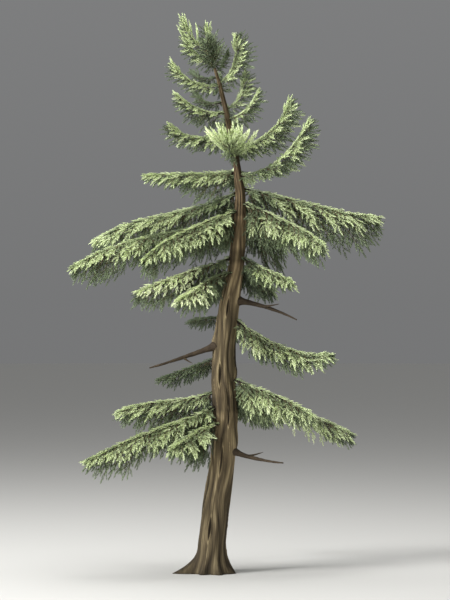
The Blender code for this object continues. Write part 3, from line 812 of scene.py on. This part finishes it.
# %% [markdown]
# ## The rule of growth
#
# A spruce bough carries three kinds of growth. Twigs that spread from its sides and arch over make a cap.
# Twigs that hang from it make a curtain under the cap. Short shoots stand all along its upper side and hide
# the wood. Each twig carries shoots to both sides and one at its end, so that it ends in a point. A shoot's
# tint follows its place, as painted light and shade: painted highlights at the ends of a cap, painted shade
# inside a curtain.
#
# A particle system could deal this out. Here loops do it, because each twig can then ask whether it has
# room. They only write rows of numbers, and the meshes are made from those at the end.

# %% Shoots and twigs as rows
SHOOT_LENGTH = 0.24
OUTER_ROOM = 0.03  # how far a shoot may stand out of the box of the solids
# Tints of the needles from bright to dark: lit and shaded copies of one green, as painted light and shade.
LIT, PALE, HALF, MID, DEEP, SHADE, INNER = range(7)


class Growth:
    """Shoots and twigs of many boughs, as rows of numbers."""

    def __init__(self):
        self.shoots, self.twigs = [], []

    def shoot(self, root, ahead, across, length, tint):
        """A shoot, unless it would stand out of the box of the solids."""
        tip = root + length * ahead
        if all(low - OUTER_ROOM < c < high + OUTER_ROOM for c, low, high in zip(tip, *solid_box)):
            self.shoots.append((*root, *ahead, *across, length, tint))

    def twig(self, stops, across, thick):
        self.twigs.append([*(c for stop in stops for c in stop), *across, thick])


def tint_of(kind, s, shade, dice):
    """The tint of a shoot, by its kind and its place along its twig: painted highlights at the ends of caps
    and lances and here and there on ridges, painted shade inside a curtain.
    """
    if kind == "cap":
        tint = LIT if s > 0.65 and dice.random() < 0.6 else PALE if s > 0.3 else HALF
    elif kind == "lance":
        tint = HALF if s < 0.15 else LIT if s > 0.5 and dice.random() < 0.6 else PALE
    elif kind == "ridge":
        tint = LIT if dice.random() < 0.15 else PALE
    else:
        tint = SHADE if s < 0.25 else DEEP if s < 0.5 else MID
        if s > 0.8 and dice.random() < 0.3:
            tint = HALF
    return max(LIT, min(INNER, tint + shade))


print("tints from", LIT, "to", INNER)

# %% [markdown]
# ## How boughs differ
#
# One rule serves all boughs. Tables add what light and age have done to single ones: how long the curtain
# hangs, how far out the bright cap begins, which boughs stand in the shade. The light and shade are painted
# into the tints of the needles. Two short boughs make a bowl of many spreading twigs that point up, and the
# topmost ones carry lances: upright sprays whose shoots lie close along them. Each bough has its own seeded
# dice, so that it stays the same when another is changed.

# %% Tables of the boughs
# Share of the usual length of the curtain, at even steps from near the trunk to near the tip.
HANGING = {
    "top_right": (1.1, 1.1, 1), "second_left": (1.3, 1.1, 1), "second_right": (0.6, 1, 1),
    "third_left": (1.1, 0.9, 1.3), "third_right": (1, 1, 0.8), "fourth_left": (1.4, 0.95, 0.65, 0.6, 0.6),
    "fourth_right": (0.2, 0.8, 0.9), "mid_left_long": (1.8, 1.45, 1.15, 1, 1.2, 1.1, 0.95, 0.85, 0.8),
    "mid_left_front": (1.7, 1.6, 1.6, 1.15, 0.75), "mid_right_front": (1.35, 1.15, 1.1, 1, 0.65),
    "mid_right_back": (1.6, 1.1, 0.6), "low_left": (1, 1.1, 1.1), "low_left_front": (0.8, 0.85, 0.8),
    "low_right_front": (0.8, 0.7, 0.6), "lone_right": (0.45, 1.2, 0.85, 0.6, 0.65),
    "shade_left_back": (0.8, 1, 0.8),
    "skirt_left_high": (1, 1, 0.7), "skirt_left_long": (1, 0.9, 0.75, 0.75, 0.95, 0.9, 0.8),
    "skirt_left_front": (1.15, 0.65, 0.55), "skirt_right_front": (0.3, 0.65, 0.75),
    "skirt_right_long": (0.7, 0.72, 0.62, 0.5, 0.45, 0.85, 1.1),
}
# Curtains that stand denser: share of the usual step between their twigs.
DENSE = {"mid_right_back": 0.55, "mid_right_front": 0.8, "skirt_left_front": 0.6, "skirt_left_high": 0.8}
# Where the bright cap of a bough begins, further out where the boughs above shade it, as a share of its
# length. Then how many tints of painted shade it has up to there, and from there; a negative number paints
# it lighter, against the shade from above.
USUAL_CAP = (0.03, 1, 0)
CAPS = {
    "mid_left_high": (0.28, 1, 0), "mid_left_long": (0.5, 1, 0), "mid_right_high": (0.16, 1, 0),
    "mid_right_front": (0.2, 1, 0), "low_left": (0.28, 1, -1), "low_left_front": (0.48, 1, -1),
    "fourth_right": (0.35, 1, 0), "low_right_front": (0.25, 2, 0), "skirt_right_front": (0.16, 1, 0),
    "skirt_right_long": (0.2, 1, 0),
}
# The darker tints of these boughs are painted shade.
SHADED = {  # boughs in the shade of others, by how many tints they are darker
    "small_left_back": 3, "shade_left_back": 3, "second_left_back": 2, "top_left_back": 3, "lone_back": 2,
    "high_right_back": 2, "crown_front": 2, "crown_back": 2, "mid_left_back": 2, "low_back": 2,
    "mid_back": 1, "top_back": 2, "second_back": 2, "third_back": 1, "low_right_back": 1,
}
BROAD_CAPS = ("mid_right_high", "mid_right_front", "lone_right", "skirt_right_front", "skirt_right_long")
BOWLS = {"third_front": (0.24, 0.64), "crown_front": (0.30, 0.36)}  # hanging and spreading length
# Upright sprays on the topmost boughs: where each leaves its bough, its length, and its lean outward.
LANCES = {
    "leader_tip": ((0.30, 0.45, 0.15), (0.48, 0.40, 0.22), (0.65, 0.42, 0.26), (0.85, 0.28, 0.50)),
    "crown_left": ((0.55, 0.34, 0.90), (0.80, 0.34, 0.70), (0.95, 0.30, 0.60)),
    "crown_upright": ((0.45, 0.36, -0.25), (0.70, 0.30, -0.35)),
}
print(len(HANGING), "curtains and", len(CAPS), "caps of their own kind")

# %% Sizes and tints along a bough
# Share of a twig's full length that it has, by the share of the bough where it stands.
FULLNESS = ((0, 0.1, 0.34, 0.72, 0.9, 1), (0.84, 1, 1, 0.86, 0.54, 0.26))
# That darker part of a curtain is painted shade.
DARK_PART = 0.3  # the curtains of big boughs are darker on this part, near the trunk
BARE_START = 0.04  # metres outside the bark without twigs


class Habit:
    """What the growth of one bough depends on; t is a share of the bough."""

    def __init__(self, growth, big, name, hang, spread, dice):
        self.growth, self.big, self.name, self.dice = growth, big, name, dice
        self.bough, self.bowl, self.shade = boughs[name], name in BOWLS, SHADED.get(name, 0)
        self.hang, self.spread = BOWLS.get(name, (hang, spread))
        self.first = self.bough.bark + BARE_START
        self.room = self.bough.length - self.first

    def darker(self, kind, t):
        """How many tints darker than usual the growth is painted, as painted shade."""
        if kind == "curtain":
            return self.shade + (1 if self.big and t < DARK_PART else 0)
        start, near, further = CAPS.get(self.name, USUAL_CAP)
        return self.shade + (near if t < start else further)

    def shared_room(self, kind, t):
        """How far past the middle to the next bough a twig may reach."""
        shared = TUFT_ROOM if self.name in TUFT else SHARED_ROOM
        if kind == "curtain" and self.name in DEEP_CURTAINS:
            shared += DEEP_ROOM * max(0, 1 - t / DEEP_PART)
        elif self.big:
            shared += INNER_ROOM * max(0, 1 - t / INNER_PART)
        return shared


print("the fullest twigs end at", FULLNESS[0][2], "of a bough")

# %% One side twig
SHOOT_STEP = {"curtain": 0.085, "cap": 0.07, "lance": 0.05}
SHOOT_SWING = {"curtain": (22, 40), "cap": (22, 40), "lance": (8, 16)}  # degrees from the twig
SHRINKS = (1, 0.86, 0.72, 0.58, 0.44)  # shares of its length that a twig may have, the first with room
TWIG_THICK = (0.004, 0.004)  # of no length, and more by the metre
LOOSE, CLOSE = 0.16, 0.06  # how far a shoot strays from its aim: at the sides, and at tips and on lances


def random_lean(size, dice):
    return size * Vector([dice.uniform(-1, 1) for _ in range(3)])


def branchlet(habit, shared, root, kind, aim, across, length, bend, shade):
    """A side twig that bends, with shoots to both sides and one at its end."""
    growth, dice = habit.growth, habit.dice
    for shrink in SHRINKS:
        reach = shrink * length

        def place(s):
            return root + reach * (s * aim + s * s * bend)

        if has_room(habit.name, [place(s) for s in (0.4, 0.7, 1, 1.1)], shared):
            break
    else:
        return
    tip = min(SHOOT_LENGTH, 0.7 * reach)
    end = 1 - tip / reach
    growth.twig([place(end * s) for s in (0, 0.4, 0.75, 1)], across, TWIG_THICK[0] + TWIG_THICK[1] * reach)
    count = max(1, round(end * reach / SHOOT_STEP[kind]))
    for j in range(count + 1):
        s = end * (j + 0.5) / count if j < count else end
        along = (aim + 2 * s * bend).normalized()
        hand = 0 if j == count else -1 if j % 2 else 1
        swing = radians(dice.uniform(*SHOOT_SWING[kind])) * hand
        loose = CLOSE if hand == 0 or kind == "lance" else LOOSE
        ahead = cos(swing) * along + sin(swing) * across + random_lean(loose, dice)
        size = tip * (1.1 if hand == 0 else dice.uniform(0.78, 1.02))
        growth.shoot(place(s), ahead.normalized(), across, size, tint_of(kind, s, shade, dice))


print("shoots every", SHOOT_STEP["curtain"], "m on a hanging twig")

# %% The aim of a side twig
DROOP = {"curtain": (56, 88), "cap": (5, 48)}  # degrees below level, seen along the bough
BEND = {"curtain": 0.06, "cap": 0.24, "bowl": -0.40}  # how far the tip bends down, in lengths of the twig
BROAD_LENGTH, BROAD_DROOP = 1.15, 1.3  # of broad caps, against others
# A bowl's twigs: droop from that of a cap, what each hand adds, and length upright and more when level.
BOWL_DROOP, BOWL_HAND, BOWL_LENGTH = (1.9, -96), 6, (0.74, 0.42)
FORWARD, MEAN_FORWARD = (46, 60), 53  # degrees from the bough's own line
NEAR_TRUNK, NEAR_TIP = (60, 0.25), (50, 0.6)  # twigs open up there and close up here, from these shares
SHORTEST, LONGER = 0.74, 0.26  # of a twig's full length; most stay near the shortest


def side_aim(habit, kind, t, ahead, low, hand):
    """The direction, bend and length of a side twig at a share of the bough."""
    dice = habit.dice
    droop, bend = dice.uniform(*DROOP[kind]), BEND[kind]
    length = habit.hang if kind == "curtain" else habit.spread
    if kind == "cap" and habit.bowl:
        droop = BOWL_DROOP[0] * droop + BOWL_DROOP[1] + BOWL_HAND * hand
        bend = BEND["bowl"]
        length *= BOWL_LENGTH[0] + BOWL_LENGTH[1] * cos(radians(droop))
    if kind == "cap" and habit.name in BROAD_CAPS:
        droop, length = BROAD_DROOP * droop, BROAD_LENGTH * length
    if kind == "curtain":
        shares = HANGING.get(habit.name, (1, 1))
        length *= float(np.interp(t, np.linspace(0.1, 0.9, len(shares)), shares))
    droop = radians(droop)
    opened = NEAR_TRUNK[0] * max(0, NEAR_TRUNK[1] - t)
    closed = NEAR_TIP[0] * max(0, t - NEAR_TIP[1])
    forward = radians(dice.uniform(*FORWARD) + opened - closed)
    outward = cos(droop) * (hand * habit.bough.side) + sin(droop) * low
    aim = cos(forward) * ahead + sin(forward) * outward
    share = float(np.interp(t, *FULLNESS)) * (SHORTEST + LONGER * dice.random() ** 2)
    return aim, bend * low, length * (share / sin(radians(MEAN_FORWARD)))


print("a hanging twig droops", DROOP["curtain"], "degrees")

# %% Caps and curtains
HANG_STEP, SPREAD_STEP = 0.078, 0.09  # metres between twigs
BOWL_STEP = 0.36  # share of that step in a bowl
INWARD = 1.2  # twigs of big boughs stand denser near the trunk
TILT = 28  # degrees that a twig's flat side may turn


def side_twigs(habit, kind):
    """The cap or the curtain of a bough, in pairs of twigs."""
    bough, dice = habit.bough, habit.dice
    step = HANG_STEP * DENSE.get(habit.name, 1)
    if kind == "cap":
        step = SPREAD_STEP * (BOWL_STEP if habit.bowl else 1)
    count = max(3, round(habit.room / step))
    for k in range(2 * count):
        hand = 1 if k % 2 else -1
        t = min(max((k // 2 + 0.5 + 0.25 * hand + dice.uniform(-0.3, 0.3)) / count, 0.01), 0.95)
        if habit.big:
            t **= INWARD
        mark = habit.first + habit.room * t
        ahead, low = bough.ahead(mark), bough.under(mark)
        aim, bend, length = side_aim(habit, kind, t, ahead, low, hand)
        across = (ahead - ahead.dot(aim) * aim).normalized()
        tilt = radians(dice.uniform(-TILT, TILT))
        across = cos(tilt) * across + sin(tilt) * aim.cross(across)
        leaf = "lance" if habit.bowl and kind == "cap" else kind
        shared, darker = habit.shared_room(kind, t), habit.darker(kind, t)
        branchlet(habit, shared, bough.at(mark), leaf, aim, across, length, bend, darker)


print("twigs every", HANG_STEP, "m in a curtain and every", SPREAD_STEP, "m in a cap")

# %% Ridges, lances and tips
RIDGE_STEP, RIDGE_SIZE = 0.016, 0.13
RIDGE_SUNK = 0.03  # metres inside the bark where the ridge begins
RIDGE_TURN, RIDGE_LEAN = (-205, 25), (8, 26)  # degrees round the bough, and from its line
TIP_SHOOTS, TIP_PART = 9, 0.20  # the tip's shoots leave one to two of these lengths before it
TIP_SPREAD = (0.06, 0.45)  # stray of the first, and how much more of the last


def ridge(habit):
    """Short shoots all along the upper side of a bough."""
    bough, dice = habit.bough, habit.dice
    inside = bough.bark - RIDGE_SUNK
    for k in range(round((bough.length - inside) / RIDGE_STEP)):
        mark = inside + (k + dice.random()) * RIDGE_STEP
        turn = radians(dice.uniform(*RIDGE_TURN))
        lean = radians(dice.uniform(*RIDGE_LEAN))
        outward = cos(turn) * bough.side + sin(turn) * bough.under(mark)
        aim = cos(lean) * bough.ahead(mark) + sin(lean) * outward
        size = RIDGE_SIZE * dice.uniform(0.8, 1.15)
        root = bough.at(mark) + 0.8 * bough.thick(mark) * outward
        tint = tint_of("ridge", 1, habit.darker("ridge", (mark - habit.first) / habit.room), dice)
        habit.growth.shoot(root, aim, bough.side, size, tint)


def lances_and_tip(habit):
    """Upright sprays, where a bough has them, and the bunch of shoots at its tip."""
    bough, dice = habit.bough, habit.dice
    for share, length, lean in LANCES.get(habit.name, ()):
        aim = (lean * bough.out - DOWN + random_lean(0.05, dice)).normalized()
        root = bough.at(share * bough.length)
        branchlet(habit, TUFT_ROOM, root, "lance", aim, bough.side, length, Vector(), 0)
    for k in range(TIP_SHOOTS):
        stray = TIP_SPREAD[0] + TIP_SPREAD[1] * k / TIP_SHOOTS
        aim = (bough.ahead(bough.length) + random_lean(stray, dice)).normalized()
        root = bough.at(bough.length - TIP_PART - TIP_PART * k / TIP_SHOOTS)
        habit.growth.shoot(root, aim, bough.side, SHOOT_LENGTH, min(INNER, PALE + habit.shade))


print("ridge shoots every", RIDGE_STEP, "m")

# %% The storeys of the crown
# Three of them, so that no mesh gets too large.
STOREYS = (("high", 8.4, 20), ("middle", 6.0, 8.4), ("low", 0.0, 6.0))  # name, lowest and highest root
SEED = 7

storeys = {}
for storey, lowest, highest in STOREYS:
    growth = storeys[storey] = Growth()
    for number, (name, height, *_, hang, spread, _) in enumerate(BOUGHS):
        if lowest <= height < highest:
            habit = Habit(growth, storey != "high", name, hang, spread, random.Random(SEED + number))
            side_twigs(habit, "curtain")
            side_twigs(habit, "cap")
            ridge(habit)
            lances_and_tip(habit)
    print(storey, len(growth.shoots), "shoots on", len(growth.twigs), "twigs")

# %% [markdown]
# ## Needles and twigs as joined meshes
#
# Hundreds of thousands of needles as objects would stop any program. Each storey's shoots of one tint are
# therefore written straight into one mesh, with arrays: all copies of a shoot are turned, scaled and placed
# in a single multiplication. Each tint has its own plain material, and the tints are painted light and shade
# on one needle green.

# %% Needles
# Lit and shaded copies of one needle green, as painted light and shade: painted highlights on the caps,
# painted shade inside the crown.
TINTS = (
    ("lit", (240, 249, 206)),
    ("pale", (209, 222, 172)),
    ("half_lit", (148, 162, 121)),
    ("mid", (116, 130, 97)),
    ("deep", (98, 111, 82)),
    ("shade", (83, 95, 70)),
    ("inner", (75, 86, 63)),
)
MOST_TRIANGLES = 200_000


def mesh_from(name, points, faces, material):
    """A mesh from arrays of points and of triangles."""
    mesh = bpy.data.meshes.new(name)
    mesh.vertices.add(len(points))
    mesh.vertices.foreach_set("co", points.astype(np.float32).ravel())
    mesh.loops.add(3 * len(faces))
    mesh.loops.foreach_set("vertex_index", faces.astype(np.int32).ravel())
    mesh.polygons.add(len(faces))
    mesh.polygons.foreach_set("loop_start", np.arange(0, 3 * len(faces), 3, dtype=np.int32))
    mesh.update(calc_edges=True)
    mesh.materials.append(material)
    obj = bpy.data.objects.new(name, mesh)
    bpy.context.scene.collection.objects.link(obj)
    if len(faces) >= MOST_TRIANGLES:
        raise ValueError(f"{name} has {len(faces)} triangles")
    return obj


def copies(shape, rows):
    """The shape at each row's root, turned ahead and scaled by its length."""
    points, faces = shape
    roots, ahead, across, length = rows[:, 0:3], rows[:, 3:6], rows[:, 6:9], rows[:, 9]
    turned = frame_of(ahead, across)
    placed = roots[:, None] + length[:, None, None] * np.einsum("vk,nkc->nvc", points, turned)
    numbered = faces[None] + len(points) * np.arange(len(rows))[:, None, None]
    return placed.reshape(-1, 3), numbered.reshape(-1, 3)


def stack(parts):
    """Several (points, faces) as one."""
    starts = np.cumsum([0] + [len(points) for points, _ in parts])
    return np.concatenate([p for p, _ in parts]), np.concatenate([f + s for (_, f), s in zip(parts, starts)])


needle_looks = [plain("needles_" + tint, colour, 0.62) for tint, colour in TINTS]
total = 0
for storey, lowest, highest in STOREYS:
    rows = np.array(storeys[storey].shoots)
    masses = [row[0] for row in BOUGHS if lowest <= row[1] < highest]
    for number, (tint, _) in enumerate(TINTS):
        own = rows[rows[:, 10] == number]
        if len(own) == 0:
            continue
        parts = [copies(shape, own[k :: len(shoots)]) for k, shape in enumerate(shoots)]
        piece = mesh_from(f"needles_{storey}_{tint}", *stack(parts), needle_looks[number])
        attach(piece, "root")
        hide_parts(*masses)
        total += len(piece.data.polygons)
print("needles:", total, "triangles")

# %% Twigs
twig_look = plain("twig_bark", (104, 84, 58), 0.8)


def tubes(rows):
    """Three-sided twigs through four stops, thinner to the tip."""
    stops, across, thick = rows[:, 0:12].reshape(-1, 4, 3), rows[:, 12:15], rows[:, 15]
    along = stops[:, 3] - stops[:, 0]
    turned = frame_of(along / np.linalg.norm(along, axis=1, keepdims=True), across)
    rings = []
    for k, share in enumerate((1, 0.8, 0.55, 0.3)):
        for angle in TRIANGLE:
            spoke = cos(angle) * turned[:, 0] + sin(angle) * turned[:, 2]
            rings.append(stops[:, k] + share * thick[:, None] * spoke)
    points = np.stack(rings, axis=1)
    faces = []
    for ring in range(3):
        for side in range(3):
            a, b = 3 * ring + side, 3 * ring + (side + 1) % 3
            faces += [(b, a, b + 3), (b + 3, a, a + 3)]
    faces.append((9, 10, 11))
    numbered = np.array(faces)[None] + 12 * np.arange(len(rows))[:, None, None]
    return points.reshape(-1, 3), numbered.reshape(-1, 3)


for storey, lowest, highest in STOREYS:
    growth = storeys[storey]
    parts = [copies((spike, spike_faces), np.array(growth.shoots)), tubes(np.array(growth.twigs))]
    piece = mesh_from(f"twigs_{storey}", *stack(parts), twig_look)
    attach(piece, "root")
    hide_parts(*[row[0] for row in BOUGHS if lowest <= row[1] < highest])
    total += len(piece.data.polygons)
    print(piece.name, len(piece.data.polygons), "triangles")
print("needles and twigs:", total, "triangles")

# %% Print the sizes of the solids and finish
print("solids", [[round(c, 3) for c in corner] for corner in solid_box])
